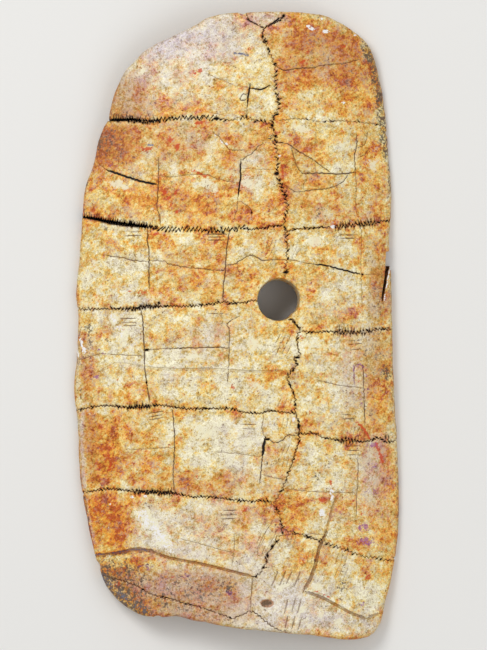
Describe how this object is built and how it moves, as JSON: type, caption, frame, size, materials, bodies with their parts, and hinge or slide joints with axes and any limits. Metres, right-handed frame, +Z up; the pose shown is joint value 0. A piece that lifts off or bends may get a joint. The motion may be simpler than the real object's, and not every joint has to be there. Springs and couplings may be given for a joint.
{
  "type": "turtle shell oracle bone",
  "caption": "Trimmed oval plate of turtle shell with a drilled hole, toothed sutures, burnt cracks and scratched marks, lying on its hollow face.",
  "frame": {"origin": "on the floor below the middle of the plate's bounding box", "axes": "+Z up out of the outer, arched face; +Y along the plate towards its narrow end; +X to the right seen from above"},
  "size_m": [0.0974, 0.1882, 0.017],
  "materials": {
    "aged_shell_bone": "aged bone, satin, cream to ochre with orange and brown stains, dark sutures and cracks"
  },
  "bodies": {
    "root": {"shell_plate": "aged_shell_bone"}
  },
  "joints": []
}
